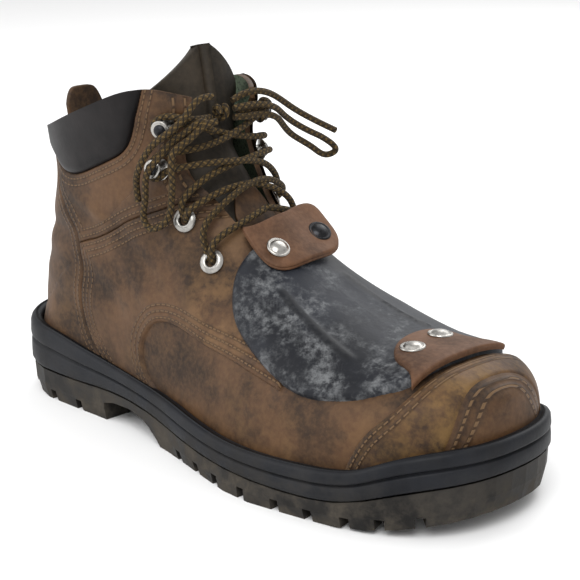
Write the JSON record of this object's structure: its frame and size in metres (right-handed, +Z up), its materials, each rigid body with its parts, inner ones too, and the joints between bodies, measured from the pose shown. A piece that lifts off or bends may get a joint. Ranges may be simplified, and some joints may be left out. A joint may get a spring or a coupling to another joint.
{
  "type": "metatarsal guard work boot",
  "caption": "Ankle-high right work boot with a padded collar, a moulded guard over the metatarsals held by a toe tab and a lace keeper with two studs, lugged outsole and laced front.",
  "frame": {"origin": "middle of the heel's tread, on the floor the boot stands on", "axes": "+X to the toe, +Y to the wearer's left (the inner side of this right boot), +Z up"},
  "size_m": [0.312, 0.13, 0.1884],
  "materials": {
    "oiled_leather": "oiled nubuck, matt, scuffed",
    "tan_leather": "smooth oiled, matt",
    "collar_leather": "smooth, soft sheen",
    "tongue_leather": "matt, padded",
    "guard_rubber": "moulded, matt, dusty",
    "midsole_foam": "moulded, satin",
    "outsole_rubber": "moulded, matt, dusty",
    "footbed": "woven cover",
    "steel": "nickel plated, worn",
    "lace_cord": "round braid, two tones"
  },
  "bodies": {
    "root": {"collar": "collar_leather", "eyelet_lateral_1": "steel", "eyelet_lateral_2": "steel", "eyelet_medial_1": "steel", "eyelet_medial_2": "steel", "guard_tab": "tan_leather", "heel_counter": "oiled_leather", "insole": "footbed", "keeper_stud_lateral": "steel", "keeper_stud_medial": "steel", "lace_crossings": "lace_cord", "lace_end_lateral": "lace_cord", "lace_end_medial": "lace_cord", "lace_hook_lateral_1": "steel", "lace_hook_lateral_2": "steel", "lace_hook_medial_1": "steel", "lace_hook_medial_2": "steel", "lace_keeper": "tan_leather", "lace_knot": "lace_cord", "lace_loop_lateral": "lace_cord", "lace_loop_medial": "lace_cord", "met_guard": "guard_rubber", "midsole": "midsole_foam", "outsole": "outsole_rubber", "pull_tab": "tan_leather", "quarter_lateral": "oiled_leather", "quarter_medial": "oiled_leather", "shaft_panel_lateral": "oiled_leather", "shaft_panel_medial": "oiled_leather", "toe_band": "oiled_leather", "toe_cap": "oiled_leather", "toe_rivet_lateral": "steel", "toe_rivet_medial": "steel", "tongue": "tongue_leather", "tongue_flap": "oiled_leather", "upper": "oiled_leather"}
  },
  "joints": []
}
